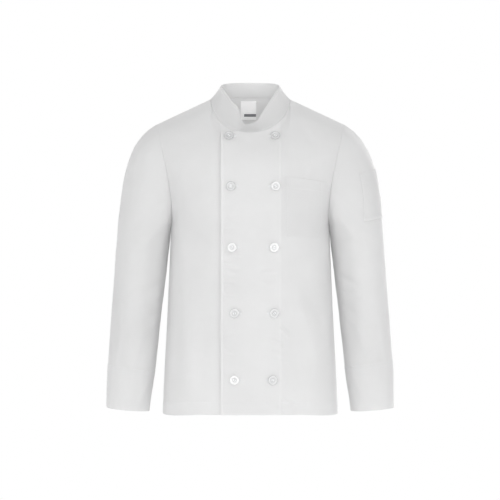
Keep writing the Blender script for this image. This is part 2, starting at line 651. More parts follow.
def backPanel():
    left, right = halfPanel(1, 1), halfPanel(1, -1)
    grid = np.hstack([left[:, ::-1], right[:, 1:]])
    normals = gridNormals(grid)
    acrossLength, upLength = gridLengths(grid)
    fromSide = np.minimum(acrossLength, acrossLength[:, -1:] - acrossLength)
    fromTop = upLength[-1:] - upLength
    _, relief = panelRelief(grid, backCut["creases"], fromSide, fromTop, 9, 41)
    lastBody = len(bodyLevels) - 1
    middle = len(halfShares) - 1
    seams = [np.zeros_like(grid), np.zeros_like(grid)]
    for column, sign in ((0, 1), (-1, -1)):
        seams[0][:lastBody, column] = (0, -1, 0)
        seams[0][lastBody:, column] = towardsSleeve(yokeShares) * (sign, 1, 1)
    neckCount = len(neckShares)
    towards = collarDirection(neckShares / neckShare * np.pi / 2, 1)
    seams[1][-1] = (0, -1, 0)
    seams[1][-1, middle:middle + neckCount] = towards * (-1, 1, 1)
    seams[1][-1, middle - neckCount + 1:middle + 1] = towards[::-1]
    flat = np.stack([acrossLength - acrossLength[:, middle][:, None], upLength], -1)
    return dropped(grid + normals * relief[..., None]), flat, seams


backGrid, backFlat, backSeams = backPanel()
backPiece = clothObject("back_cloth", backGrid, backFlat, seams=backSeams)
print("back:", backGrid.shape[:2])


# The stand collar: one band from its end on the over front round the back to its end on the under front

def collarPanel():
    rows = linedPlaces(0, 40, 40 / collarCut["rows"], lines=(40 - collarCut["edgeStitch"], 1.2, 38.8))
    rows = rows[:, None] / 40

    def band(angle, facing, side):
        top = collarEdge(collarTopAngle(angle), facing, side)
        point = mix(neckSeam(angle, facing)[None], top[None], rows[..., None])
        outwards = point - (0, neckCut["sideY"], 0)
        outwards[..., 2] = 0
        point = point - unit(outwards) * (collarCut["flare"] * np.sin(np.pi * rows))[..., None]
        return point * (side, 1, 1)
    frontAngles = neckColumnAngles
    backAngles = neckShares / neckShare * np.pi / 2
    overEnd = band(frontAngles, -1, 1)
    behind = np.hstack([band(backAngles[::-1][1:], 1, 1), band(backAngles[1:-1], 1, -1)])
    underEnd = band(frontAngles[::-1], -1, -1)
    grid = np.hstack([overEnd, behind, underEnd])
    underFrom = overEnd.shape[1] + behind.shape[1]
    normals = gridNormals(grid)
    inset = underDepth(-grid[:1, underFrom:, 0])
    grid[:, underFrom:] -= normals[:, underFrom:] * inset[..., None]
    grid[0, underFrom:] = underSeamRow[::-1]
    directions = unit(grid[1] - grid[0])
    acrossLength, upLength = gridLengths(grid)
    fromTop = upLength[-1:] - upLength
    fromEnd = np.minimum(acrossLength, acrossLength[:, -1:] - acrossLength)
    edge = np.minimum(fromTop, fromEnd) - collarCut["edgeStitch"]
    fade = smooth(along(0, 12, upLength))
    relief = 0.5 * fade * crumple(grid, 14) + seamBands(upLength, 0.3, 4)
    relief += fade * (stitchLine(edge, 0.35) + puckers(edge, acrossLength, 0.35, 5, 7, 47))
    seams = [np.zeros_like(grid)]
    seams[0][0] = -directions
    return grid + gridNormals(grid) * relief[..., None], np.stack([acrossLength, upLength], -1), seams


collarGrid, collarFlat, collarSeams = collarPanel()
collarPiece = clothObject("collar_cloth", collarGrid, collarFlat, thickness=1.5, seams=collarSeams)
print("collar:", collarGrid.shape[:2])


# Sleeves: angle 0 is the underarm, 90 the front, 180 the top, 270 the back

sleeveCut = dict(
    sections=tableOf("level inner outer front back tilt",
                     (-330, 184.5, 304.5, -64, 76, 0.06), (-413, 194.5, 310.5, -62, 66, 0.1),
                     (-522, 207, 318.3, -60, 55, 0.13), (-632, 218.5, 326, -58, 45, 0.148),
                     (-700.5, 226.5, 329, -57, 38, 0.148)),
    # how the cap leaves the armhole, at the underarm and at the top: outwards, down, and its reach; and how
    # it arrives in the first section
    capOut=(0.12, 0.86), capDown=(1, 0.5), capAside=0.3, leaveReach=(0.75, 0.92),
    arriveReach=(1, 1.56), arriveOut=0.09,
    power=2.2, columns=118, capRows=64, pitch=3.4, seamDepth=0.35, hemStep=0.7, cuffStitch={1: 104.0, -1: 94.0},
    cuffMiddle=279, cuffDrop=3.4, cuffTaper=2.4,
    folds=[  # the broad folds that the solids have too; x is degrees round the arm
        crease(62, -250, 50, -600, 20, -3.5), crease(108, -300, 96, -560, 22, 2.5),
        crease(285, -260, 300, -560, 22, -3.5), crease(240, -320, 250, -620, 20, 2.5),
    ],
    creases=[
        crease(18, -392, 92, -424, 8, -1.8), crease(24, -426, 98, -446, 7, 1.7),
        crease(14, -452, 82, -492, 8, -1.6), crease(30, -486, 88, -520, 8, 1.3),
        crease(246, -404, 322, -436, 9, -1.5), crease(236, -446, 310, -470, 9, 1.4),
        crease(28, -236, 112, -336, 12, 1.9), crease(58, -196, 124, -300, 12, -1.7),
        crease(300, -232, 250, -336, 13, 1.7), crease(318, -270, 276, -380, 11, -1.5),
        crease(74, -520, 96, -604, 9, 1.4), crease(108, -500, 122, -620, 10, -1.2),
        crease(134, -440, 122, -590, 13, 1.3, bow=6), crease(156, -330, 148, -520, 13, -1.4, bow=-6),
        crease(200, -420, 190, -600, 14, -1.6), crease(212, -290, 230, -430, 13, 1.4),
        crease(142, -96, 150, -220, 12, -1.1), crease(206, -100, 214, -220, 12, -1.2),
        crease(172, -110, 178, -300, 14, 0.9), crease(40, -610, 70, -690, 8, 1.0),
        crease(150, -615, 160, -700, 10, -1.0), crease(262, -600, 270, -700, 10, 1.1),
    ],
)


def armPoint(angle, level):
    rows, power = sleeveCut["sections"], 2 / sleeveCut["power"]

    def field(name):
        return tableValue(rows, "level", name, level)
    halfWidth, halfDepth = (field("outer") - field("inner")) / 2, (field("back") - field("front")) / 2
    sideways = -halfWidth * np.sign(np.cos(angle)) * np.abs(np.cos(angle)) ** power
    depth = halfDepth * (1 - np.sign(np.sin(angle)) * np.abs(np.sin(angle)) ** power)
    return np.stack([field("inner") + halfWidth + sideways, field("front") + depth,
                     level + field("tilt") * sideways], -1)


def capPoint(angle, share):  # leaves the armhole outwards and bends down into the first section
    inFront = angle <= np.pi
    curveShare = np.where(inFront, angle / np.pi, 2 - angle / np.pi)
    start = np.where(inFront[..., None], armholeAt[-1](curveShare), armholeAt[1](curveShare))
    end = armPoint(angle, np.full_like(angle, sleeveCut["sections"][0]["level"]))
    top = np.sin(angle / 2) ** 2
    span = np.linalg.norm(start - end, axis=-1)
    leaving = np.stack([mix(*sleeveCut["capOut"], top**0.4), -sleeveCut["capAside"] * np.sin(angle),
                        -mix(*sleeveCut["capDown"], top)], -1)
    arriving = unit(np.array([sleeveCut["arriveOut"], 0, -1]))
    return cubic(share[..., None], start, unit(leaving) * (span * mix(*sleeveCut["leaveReach"], top))[..., None],
                 end, arriving * (span * mix(*sleeveCut["arriveReach"], top))[..., None])


def withSleeveFolds(point, angle):
    out = foldHeight(sleeveCut["folds"], np.degrees(angle), point[..., 2], np.pi * 60 / 180)
    return point + np.stack([-np.cos(angle) * out, -np.sin(angle) * out, 0 * out], -1)


def sleevePanel(side, seed):
    cuff = sleeveCut["sections"][-1]["level"]
    cuffStitch = sleeveCut["cuffStitch"][side]
    angles = np.arange(sleeveCut["columns"]) / sleeveCut["columns"] * 2 * np.pi
    capFrom = sleeveCut["sections"][0]["level"]
    levels = linedPlaces(cuff, capFrom, sleeveCut["pitch"], lines=(cuff + 1, cuff + cuffStitch))[:-1]
    capLine = linedPlaces(0, 220, 220 / sleeveCut["capRows"], lines=(3,)) / 220
    armAngle, armLevel = np.meshgrid(angles, levels)
    capAngle, capShare = np.meshgrid(angles, capLine[::-1])
    grid = np.vstack([withSleeveFolds(armPoint(armAngle, armLevel), armAngle),
                      withSleeveFolds(capPoint(capAngle, capShare), capAngle)])
    normals = gridNormals(grid, closed=True)
    acrossLength, upLength = gridLengths(grid, closed=True)
    degrees = np.degrees(np.vstack([armAngle, capAngle]))
    fromTop = upLength[-1:] - upLength
    z = grid[..., 2]
    fade = smooth(along(0, 26, fromTop))
    shift = 0 if side > 0 else 14  # the two sleeves hang a little differently
    relief = fade * (foldHeight(sleeveCut["creases"], degrees + shift / 3, z + shift, np.pi * 60 / 180)
                     + crumple(grid * (side, 1, 1), seed))
    relief += seamBands(fromTop, 0.3, 6)
    fromSeam = np.minimum(acrossLength[:, :-1], acrossLength[:, -1:] - acrossLength[:, :-1])
    relief -= fade * sleeveCut["seamDepth"] * np.exp(-((fromSeam / 1.8) ** 2))
    relief += hemRelief(upLength, acrossLength[:, :-1], cuffStitch, sleeveCut["hemStep"], seed + 40)
    seams = [np.zeros_like(grid)]
    seams[0][-1] = -towardsSleeve(1 - np.abs(1 - angles / np.pi))
    grid = grid + normals * relief[..., None]
    # the cuff is cut square to the arm, and a little narrower than the sleeve above it
    nearCuff = smooth(along(cuff + 110, cuff + 10, grid[..., 2]))
    acrossCuff = np.clip((grid[..., 0] - sleeveCut["cuffMiddle"]) / 52, -1, 1)
    grid[..., 2] -= sleeveCut["cuffDrop"] * acrossCuff * nearCuff
    grid[..., 0] -= sleeveCut["cuffTaper"] * acrossCuff * nearCuff
    flat = np.stack([acrossLength, np.hstack([upLength, upLength[:, :1]])], -1)
    if side < 0:  # the mirror image, with its columns turned round so that it still faces out
        order = np.r_[0, np.arange(1, grid.shape[1])[::-1]]
        grid, seams = grid[:, order] * (-1, 1, 1), [seams[0][:, order] * (-1, 1, 1)]
        flat = flat[:, ::-1]
    return grid, flat, seams


leftGrid, leftFlat, leftSeams = sleevePanel(1, 17)
rightGrid, rightFlat, rightSeams = sleevePanel(-1, 23)
sleeveLeft = clothObject("sleeve_left_cloth", leftGrid, leftFlat, closed=True, seams=leftSeams)
sleeveRight = clothObject("sleeve_right_cloth", rightGrid, rightFlat, closed=True, seams=rightSeams)
leftTree = surfaceTree(sleeveLeft)
print("sleeves:", leftGrid.shape[:2])


# Patches: the pocket on the chest, the pocket on the sleeve, and the label in the neck

def onFront(x, z):  # the places of the front on top over x and z, with its normals there
    x, z = np.broadcast_arrays(np.asarray(x, float), np.asarray(z, float))
    places, normals = [], []
    for startX, startZ in zip(x.ravel(), z.ravel()):
        start = Vector((startX, -500, startZ)) * mm
        place, normal, _, _ = overTree.ray_cast(start, Vector((0, 1, 0)))
        if place is None:
            place, normal, _, _ = overTree.find_nearest(start)
        places.append(np.array(place) / mm)
        normals.append(np.array(normal) * (-1 if normal.y > 0 else 1))
    return np.array(places).reshape(*x.shape, 3), np.array(normals).reshape(*x.shape, 3)


def smoothed(field, rounds=2):  # evens out a grid's normals, with its borders kept
    for _ in range(rounds):
        padded = np.pad(field, ((1, 1), (1, 1), (0, 0)), mode="edge")
        field = (padded[:-2, 1:-1] + padded[2:, 1:-1] + padded[1:-1, :-2] + padded[1:-1, 2:] + 2 * field) / 6
    return unit(field)


def patchWall(cut, places, normals, ownRelief):
    # A pocket's wall, clear of its panel but for its sewn edges. ownRelief gives what is its own from the
    # lengths across, up and down from the top, and from how loose it is.
    acrossLength, upLength = gridLengths(places)
    fromTop = upLength[-1:] - upLength
    sewn = np.minimum(np.minimum(acrossLength, acrossLength[:, -1:] - acrossLength), upLength)
    loose = smooth(along(1.5, cut["looseFrom"], sewn))
    edge, hem = sewn - cut["edgeStitch"], fromTop - cut["topHem"]
    relief = cut["lift"] + ownRelief(acrossLength, upLength, fromTop, loose)
    relief += stitchLine(edge, 0.22, 0.9) + puckers(edge, acrossLength + upLength, 0.3, 5, 8, cut["seeds"][0])
    relief += 0.3 * (1 - smooth(along(0, 1.4, hem))) + stitchLine(hem, 0.25, 1.0)
    relief += cut["crumple"] * loose * crumple(places, cut["seeds"][1])
    relief = np.maximum(relief, 0.12) + clothSizes["patchWall"]
    return places + normals * relief[..., None], np.stack([acrossLength, upLength], -1)


chestCut = dict(left=80, right=172, top=-177, bottom=-308, topDrop=11, corner=10, pitch=2.8, edgeStitch=2.2,
                topHem=24, penWidth=18, lift=0.25, fullness=1.6, looseFrom=26, crumple=0.35, seeds=(51, 55))


def chestPocketPanel():
    width, length = chestCut["right"] - chestCut["left"], chestCut["top"] - chestCut["bottom"]
    pitch, stitch, pen, hem = (chestCut[key] for key in ("pitch", "edgeStitch", "penWidth", "topHem"))
    across = linedPlaces(0, width, pitch, (1, stitch, width - 1, width - stitch, width - pen)) / width
    up = linedPlaces(0, length, pitch, (1, stitch, length - 1, length - hem)) / length
    across, up = np.meshgrid(across, up)
    z = mix(chestCut["bottom"], chestCut["top"] - chestCut["topDrop"] * across, up)
    taper = chestCut["corner"] * (1 - along(0, 3 * chestCut["corner"], z - chestCut["bottom"]))
    x = mix(chestCut["left"], chestCut["right"] - taper, across)
    places, normals = onFront(x, z)

    def ownRelief(acrossLength, upLength, fromTop, loose):  # fuller at the top, drawn in at the pen division
        full = chestCut["fullness"] * (0.55 + 0.45 * smooth(along(60, 0, fromTop)))
        return loose * (full + stitchLine(acrossLength[:, -1:] - acrossLength - pen, 0.5, 1.3))
    return patchWall(chestCut, places, smoothed(normals), ownRelief)


chestGrid, chestFlat = chestPocketPanel()
chestPocket = clothObject("chest_pocket_cloth", chestGrid, chestFlat, clothSizes["patchWall"])

armPocketCut = dict(frontLow=106, frontHigh=126, behind=208, top=-168, bottom=-276, width=110, rise=18,
                    rows=42, columns=44, edgeStitch=2.2, topHem=24, lift=0.25, fullness=1.2, looseFrom=24,
                    crumple=0.3, seeds=(57, 59), turnedEdge=2.0)


def sleevePocketPanel():
    length, width = armPocketCut["top"] - armPocketCut["bottom"], armPocketCut["width"]
    stitch, hem = armPocketCut["edgeStitch"], armPocketCut["topHem"]
    up = linedPlaces(0, length, length / armPocketCut["rows"], (1, stitch, length - hem, length - 1)) / length
    across = linedPlaces(0, width, width / armPocketCut["columns"],
                         (1, stitch, width - stitch, width - 1)) / width
    across, up = np.meshgrid(across, up)
    front = mix(armPocketCut["frontLow"], armPocketCut["frontHigh"], up)
    angle = np.radians(mix(front, armPocketCut["behind"], across))
    z = mix(armPocketCut["bottom"], armPocketCut["top"], up) + armPocketCut["rise"] * across
    low, high = np.zeros_like(z), np.ones_like(z)
    for _ in range(26):
        middle = (low + high) / 2
        above = capPoint(angle, middle)[..., 2] > z
        low, high = np.where(above, middle, low), np.where(above, high, middle)
    base = withSleeveFolds(capPoint(angle, low), angle)
    places, normals = np.zeros_like(base), np.zeros_like(base)
    for k in np.ndindex(base.shape[:2]):
        place, normal, _, _ = leftTree.find_nearest(Vector(base[k] * mm))
        places[k], normals[k] = np.array(place) / mm, np.array(normal)
    plain = gridNormals(base)
    flip = np.sign((normals * plain).sum(-1, keepdims=True))
    normals = smoothed(normals * np.where(flip == 0, 1, flip), 3)

    def ownRelief(acrossLength, upLength, fromTop, loose):  # the turned lower edge is thick
        turned = 1 - smooth(along(0.5, 6, upLength))
        return armPocketCut["fullness"] * loose + armPocketCut["turnedEdge"] * turned
    return patchWall(armPocketCut, places, normals, ownRelief)


armPocketGrid, armPocketFlat = sleevePocketPanel()
sleevePocket = clothObject("sleeve_pocket_cloth", armPocketGrid, armPocketFlat, clothSizes["patchWall"])

labelCut = dict(left=-21.5, right=13.5, top=6, length=40, wall=0.7, lift=2.2, curl=1.2, bulge=0.4, pitch=1.6)


def labelPanel():
    width, length = labelCut["right"] - labelCut["left"], labelCut["length"]
    across, up = np.meshgrid(np.linspace(0, 1, round(width / labelCut["pitch"]) + 1),
                             np.linspace(0, 1, round(length / labelCut["pitch"]) + 1))
    x = mix(labelCut["right"], labelCut["left"], across)
    z = mix(labelCut["top"] - length, labelCut["top"], up)
    y, step = bodyY(x, z, 1), 1.0
    slopeY = (bodyY(x, z + step, 1) - bodyY(x, z - step, 1)) / (2 * step)
    normal = unit(np.stack([0 * x, np.ones_like(x), -slopeY], -1))
    inside = clothSizes["wall"] + labelCut["lift"] + labelCut["curl"] * (1 - up) ** 2
    inside = inside + labelCut["bulge"] * np.sin(np.pi * across) * (1 - up)
    grid = np.stack([x, y, z], -1) - normal * inside[..., None]
    return grid, np.stack([(across - 0.5) * width, up * length], -1)


labelGrid, labelFlat = labelPanel()
label = clothObject("neck_label_cloth", labelGrid, labelFlat, thickness=labelCut["wall"])
print("pockets and label:", chestGrid.shape[:2], armPocketGrid.shape[:2], labelGrid.shape[:2])


# Buttons: round, dished, with four holes and their thread

buttonCut = dict(
    segments=48, lift=0.35, holeRadius=0.95, holeSpread=1.9, strand=0.42,
    profile=[(0, 1.75), (4.3, 1.8), (5.2, 1.95), (6.2, 2.7), (7.2, 3.5), (8.4, 3.9), (9.6, 3.7), (10.3, 3.2),
             (10.6, 2.4), (10.7, 1.7), (10.3, 0.8), (9.4, 0.25), (7.6, 0.0), (0, 0.0)],
    # height, the two places across, and how light the rim and the dish of each one are
    rows=tableOf("z lapX sideX lapTone sideTone",
                 (-84, -47.5, 56.5, (0.33, 0.3), (0.37, 0.35)), (-198, -43, 56.5, (0.42, 0.45), (0.72, 0.27)),
                 (-334, -40.5, 53, (0.82, 0.36), (0.88, 0.4)), (-480, -35, 53.5, (0.56, 0.25), (0.56, 0.2)),
                 (-628, -35, 50, (0.92, 0.38), (0.54, 0.25))),
)


def evaluated(piece, name):  # the mesh that an object's modifiers give, as a plain new mesh
    bpy.context.view_layer.update()
    mesh = bpy.data.meshes.new_from_object(piece.evaluated_get(bpy.context.evaluated_depsgraph_get()))
    mesh.name = name
    return mesh


def buttonShape():  # its own middle at the origin, its face towards -Y
    shape = bmesh.new()
    count = buttonCut["segments"]
    rings = []
    for radius, height in buttonCut["profile"]:
        if radius == 0:
            rings.append([shape.verts.new((0, -height, 0))])
            continue
        rings.append([shape.verts.new((radius * math.cos(2 * math.pi * k / count), -height,
                                       radius * math.sin(2 * math.pi * k / count))) for k in range(count)])
    for lower, upper in zip(rings, rings[1:]):
        for k in range(count):
            after = (k + 1) % count
            if len(lower) == 1:
                shape.faces.new((lower[0], upper[k], upper[after]))
            elif len(upper) == 1:
                shape.faces.new((lower[k], upper[0], lower[after]))
            else:
                shape.faces.new((lower[k], upper[k], upper[after], lower[after]))
    bmesh.ops.recalc_face_normals(shape, faces=shape.faces)
    body = bpy.data.meshes.new("button_body")
    shape.to_mesh(body)
    shape.free()
    drills = bmesh.new()
    radius, spread = buttonCut["holeRadius"], buttonCut["holeSpread"]
    for x in (-spread, spread):
        for z in (-spread, spread):
            bmesh.ops.create_cone(drills, cap_ends=True, segments=14, radius1=radius, radius2=radius, depth=12,
                                  matrix=Matrix.Translation((x, 0, z)) @ Matrix.Rotation(math.pi / 2, 4, "X"))
    cutter = bpy.data.meshes.new("button_drills")
    drills.to_mesh(cutter)
    drills.free()
    bodyObject, cutterObject = (newObject(mesh.name, mesh) for mesh in (body, cutter))
    cut = bodyObject.modifiers.new("holes", "BOOLEAN")
    cut.operation, cut.object, cut.solver = "DIFFERENCE", cutterObject, "EXACT"
    drilled = evaluated(bodyObject, "button_drilled")
    for thing in (bodyObject, cutterObject):
        bpy.data.objects.remove(thing)
    shape = bmesh.new()
    shape.from_mesh(drilled)
    for face in shape.faces:
        face.smooth = True
    # two bars of thread, three strands each, over the dish
    thick = buttonCut["strand"]
    for x in (-spread, spread):
        for strand in (-1, 0, 1):
            made = bmesh.ops.create_uvsphere(shape, u_segments=8, v_segments=6, radius=1.0)
            for vertex in made["verts"]:
                arch = math.sqrt(max(0.0, 1 - vertex.co.z**2))
                vertex.co = Vector((x + (strand + vertex.co.x) * thick,
                                    -1.8 - 0.55 * arch + vertex.co.y * thick * 0.9,
                                    vertex.co.z * (spread + 0.6)))
            for face in {face for vertex in made["verts"] for face in vertex.link_faces}:
                face.material_index = 1
                face.smooth = True
    mesh = bpy.data.meshes.new("button_shape")
    shape.to_mesh(mesh)
    shape.free()
    return mesh


buttonMesh = buttonShape()


def placeButton(name, x, z, tone, turn):
    aroundX, aroundZ = np.meshgrid((-7, 0, 7), (-7, 0, 7), indexing="ij")
    places, normals = onFront(x + aroundX.ravel(), z + aroundZ.ravel())
    normal = Vector(np.mean(normals, axis=0)).normalized()
    facing = (-normal).to_track_quat("Y", "Z").to_matrix()
    depth = max(float((Vector(place) - Vector(places[4])).dot(normal)) for place in places)
    center = Vector(places[4]) + normal * (depth + buttonCut["lift"])
    mesh = buttonMesh.copy()
    mesh.name = name
    rim, dish = tone
    tones = [float(mix(dish, rim, smooth(along(3.6, 6.2, math.hypot(v.co.x, v.co.z)))))
             for v in mesh.vertices]
    matrix = (Matrix.Translation(center * mm) @ facing.to_4x4() @ Matrix.Rotation(math.radians(turn), 4, "Y")
              @ Matrix.Scale(mm, 4))
    mesh.transform(matrix)
    mesh.attributes.new("tone", "FLOAT", "POINT").data.foreach_set("value", tones)
    mesh.set_sharp_from_angle(angle=math.radians(45))
    return newObject(name, mesh)


buttons = {}
for number, row in enumerate(buttonCut["rows"], 1):
    for kind in ("lap", "side"):
        node = f"button_{kind}_{number}"
        buttons[node] = placeButton(node + "_plastic", row[kind + "X"], row["z"], row[kind + "Tone"],
                                    number * 37 + (kind == "lap") * 19)
print("buttons:", len(buttons), "with", len(buttonMesh.polygons), "faces each")


# Stitches: places, with the way each one runs, the cloth's normal there, and its size

stitchCut = dict(pitch=3.3, long=2.5, thick=0.5, sink=0.04, holeLong=24.0, holeFrom=9.0, holeStep=0.55,
                 holeWide=2.3)
stitches = dict(place=[], run=[], out=[], size=[])


def addStitch(place, run, out, size):
    for key, value in (("place", place), ("run", run), ("out", out), ("size", size)):
        stitches[key].append(np.asarray(value, float))


def sewAlong(points, normals):  # a row of stitches on a line of points
    lengths = runLengths(points)
    count = max(int(lengths[-1] / stitchCut["pitch"]), 1)
    middles = (np.arange(count) + 0.5) * lengths[-1] / count

    def at(value, field):
        return np.stack([np.interp(value, lengths, field[:, axis]) for axis in range(3)], -1)
    half = stitchCut["long"] / 2
    size = (stitchCut["long"], stitchCut["thick"], stitchCut["thick"])
    places, ahead, behind = at(middles, points), at(middles + half, points), at(middles - half, points)
    outs = at(middles, normals)
    for place, run, out in zip(places, ahead - behind, outs):
        out = out / np.linalg.norm(out)
        addStitch(place + out * stitchCut["sink"], run, out, size)


def nearest(values, wanted):
    return int(np.argmin(np.abs(values - wanted)))


def sewGrid(grid, rows, columns, closed=False):  # along a row (columns a slice) or up a column (rows a slice)
    normals = gridNormals(grid, closed)
    points, outs = grid[rows, columns], normals[rows, columns]
    if closed:
        points, outs = np.vstack([points, points[:1]]), np.vstack([outs, outs[:1]])
    sewAlong(points, outs)


def sewPatch(grid, flat, margin, topHem):  # round three sides of a pocket, and across its hem
    acrossLength, upLength = flat[..., 0], flat[..., 1]
    low, high = nearest(upLength[:, 0], margin), grid.shape[0] - 1
    left, right = nearest(acrossLength[0], margin), nearest(acrossLength[0], acrossLength[0, -1] - margin)
    sewGrid(grid, slice(low, high + 1), left)
    sewGrid(grid, slice(low, high + 1), right)
    sewGrid(grid, low, slice(left, right + 1))
    sewGrid(grid, nearest(upLength[:, 0], upLength[-1, 0] - topHem), slice(1, -1))


everything = slice(None)
underLast = underGrid.shape[1] - 1  # the under front's columns run the other way
hemRow = nearest(bodyLevels, hemLevel + frontCut["hemStitch"])
for grid in (overGrid, underGrid, backGrid):
    sewGrid(grid, hemRow, everything)
edgeColumn = nearest(lapXs, lapEdge + frontCut["lapEdgeStitch"])
sewGrid(overGrid, everything, edgeColumn)
sewGrid(underGrid, everything, underLast - edgeColumn)
armColumn = nearest(halfShares, neckShare + shoulderStitch / gridRuns["shoulder"] * (1 - neckShare))
yoke = slice(len(bodyLevels) - 1, None)
sewGrid(overGrid, yoke, len(lapXs) + armColumn)
sewGrid(underGrid, yoke, underLast - len(lapXs) - armColumn)
shoulderRow = len(bodyLevels) - 1 + nearest(yokeShares, chestStitch / gridRuns["chest"])
shoulderFrom = len(lapXs) + len(neckShares) - 1
sewGrid(overGrid, shoulderRow, slice(shoulderFrom, None))
sewGrid(underGrid, shoulderRow, slice(0, underLast - shoulderFrom + 1))
sewGrid(backGrid, yoke, len(halfShares) - 1 - armColumn)
sewGrid(backGrid, yoke, len(halfShares) - 1 + armColumn)

collarHigh = collarFlat[:, collarGrid.shape[1] // 2, 1]
collarRow = nearest(collarHigh, collarHigh[-1] - collarCut["edgeStitch"])
collarWide = collarFlat[collarRow // 2, :, 0]
collarFrom = nearest(collarWide, collarCut["edgeStitch"])
collarTo = nearest(collarWide, collarWide[-1] - collarCut["edgeStitch"])
sewGrid(collarGrid, collarRow, slice(collarFrom, collarTo + 1))
sewGrid(collarGrid, slice(0, collarRow + 1), collarFrom)
sewGrid(collarGrid, slice(0, collarRow + 1), collarTo)
sewGrid(collarGrid, nearest(collarHigh, 2.6), everything)  # the row that holds the collar to the neck

for grid, flat, side in ((leftGrid, leftFlat, 1), (rightGrid, rightFlat, -1)):
    for above in (0, -9):
        sewGrid(grid, nearest(flat[:, 0, 1], sleeveCut["cuffStitch"][side] + above), everything, closed=True)
sewPatch(chestGrid, chestFlat, chestCut["edgeStitch"], chestCut["topHem"])
sewGrid(chestGrid, everything, nearest(chestFlat[0, :, 0], chestFlat[0, -1, 0] - chestCut["penWidth"]))
sewPatch(armPocketGrid, armPocketFlat, armPocketCut["edgeStitch"], armPocketCut["topHem"])
sewGrid(labelGrid, labelGrid.shape[0] - 2, everything)


def sewButtonhole(x, z, outwards):  # two bands of close stitches with a bar at each end
    start = x - outwards * stitchCut["holeFrom"]
    end = start + outwards * stitchCut["holeLong"]
    xs = np.arange(min(start, end), max(start, end) + 0.01, stitchCut["holeStep"])
    for place in (-1, 1):
        zs = z + place * (stitchCut["holeWide"] / 2 + 0.15)
        points, outs = onFront(xs, zs)
        for point, out in zip(points, outs):
            addStitch(point + out * 0.1, (0, 0, 1), out, (stitchCut["holeWide"], 0.6, 0.55))
    for edge in (start, end):
        point, out = onFront(edge, z)
        for step in (-0.5, 0, 0.5):
            addStitch(point + out * 0.15 + np.array([step, 0, 0]), (0, 0, 1), out,
                      (2.1 * stitchCut["holeWide"], 0.6, 0.6))


for row in buttonCut["rows"]:
    sewButtonhole(row["lapX"], row["z"], 1)
    sewButtonhole(row["sideX"], row["z"], -1)


def stitchNodes():  # a small grain of thread set on every point, turned along its seam
    group = bpy.data.node_groups.new("thread_on_points", "GeometryNodeTree")
    face = group.interface
    face.new_socket("Points", in_out="INPUT", socket_type="NodeSocketGeometry")
    thread = face.new_socket("Thread", in_out="INPUT", socket_type="NodeSocketMaterial")
    uneven = face.new_socket("Uneven", in_out="INPUT", socket_type="NodeSocketFloat")
    face.new_socket("Stitches", in_out="OUTPUT", socket_type="NodeSocketGeometry")
    start = addNode(group, "NodeGroupInput")
    grain = addNode(group, "GeometryNodeMeshUVSphere", values={"Segments": 6, "Rings": 4, "Radius": 0.5})
    run, out, size = (addNode(group, "GeometryNodeInputNamedAttribute", dict(data_type="FLOAT_VECTOR"),
                              {"Name": name}).outputs["Attribute"] for name in ("run", "out", "size"))
    lying = addNode(group, "FunctionNodeAlignRotationToVector", dict(axis="X"), links={"Vector": run})
    turned = addNode(group, "FunctionNodeAlignRotationToVector", dict(axis="Z", pivot_axis="X"),
                     links={"Rotation": lying.outputs["Rotation"], "Vector": out})
    least = addNode(group, "ShaderNodeMath", dict(operation="SUBTRACT"), {0: 1.0},
                    {1: start.outputs["Uneven"]}).outputs["Value"]
    chance = addNode(group, "FunctionNodeRandomValue", dict(data_type="FLOAT"), {"Seed": 7, 3: 1.0}, {2: least})
    sized = addNode(group, "ShaderNodeVectorMath", dict(operation="SCALE"),
                    links={0: size, "Scale": chance.outputs[1]})
    placed = addNode(group, "GeometryNodeInstanceOnPoints", links={
        "Points": start.outputs["Points"], "Instance": grain.outputs["Mesh"],
        "Rotation": turned.outputs["Rotation"], "Scale": sized.outputs["Vector"]})
    real = addNode(group, "GeometryNodeRealizeInstances", links={"Geometry": placed.outputs["Instances"]})
    soft = addNode(group, "GeometryNodeSetShadeSmooth", links={"Geometry": real.outputs["Geometry"]})
    painted = addNode(group, "GeometryNodeSetMaterial",
                      links={"Geometry": soft.outputs["Geometry"], "Material": start.outputs["Thread"]})
    addNode(group, "NodeGroupOutput", links={"Stitches": painted.outputs["Geometry"]})
    return group, thread.identifier, uneven.identifier


stitchGroup, threadSocket, unevenSocket = stitchNodes()


def stitchPiece(name, threadMaterial):
    mesh = bpy.data.meshes.new(name + "_points")
    mesh.from_pydata([tuple(place * mm) for place in stitches["place"]], [], [])
    for key, scale in (("run", 1), ("out", 1), ("size", mm)):
        attribute = mesh.attributes.new(key, "FLOAT_VECTOR", "POINT")
        attribute.data.foreach_set("vector", (np.array(stitches[key]) * scale).astype(np.float32).ravel())
    source = newObject(name + "_points", mesh)
    modifier = source.modifiers.new("thread", "NODES")
    modifier.node_group = stitchGroup
    modifier[threadSocket] = threadMaterial
    modifier[unevenSocket] = 0.14
    made = evaluated(source, name)
    bpy.data.objects.remove(source)
    return newObject(name, made)


# Materials

def newMaterial(name, values=None):
    material = bpy.data.materials.new(name)
    material.use_nodes = True
    tree = material.node_tree
    tree.nodes.clear()
    shader = addNode(tree, "ShaderNodeBsdfPrincipled", values=values)
    addNode(tree, "ShaderNodeOutputMaterial", links={"Surface": shader.outputs["BSDF"]})
    return material, tree, shader


def letLightThrough(tree, shader, share, **links):  # thin cloth glows a little with the light behind it
    through = addNode(tree, "ShaderNodeBsdfTranslucent", links=links)
    thin = addNode(tree, "ShaderNodeMixShader", values={"Fac": share},
                   links={1: shader.outputs["BSDF"], 2: through.outputs["BSDF"]})
    output = next(node for node in tree.nodes if node.bl_idname == "ShaderNodeOutputMaterial")
    tree.links.new(thin.outputs["Shader"], output.inputs["Surface"])


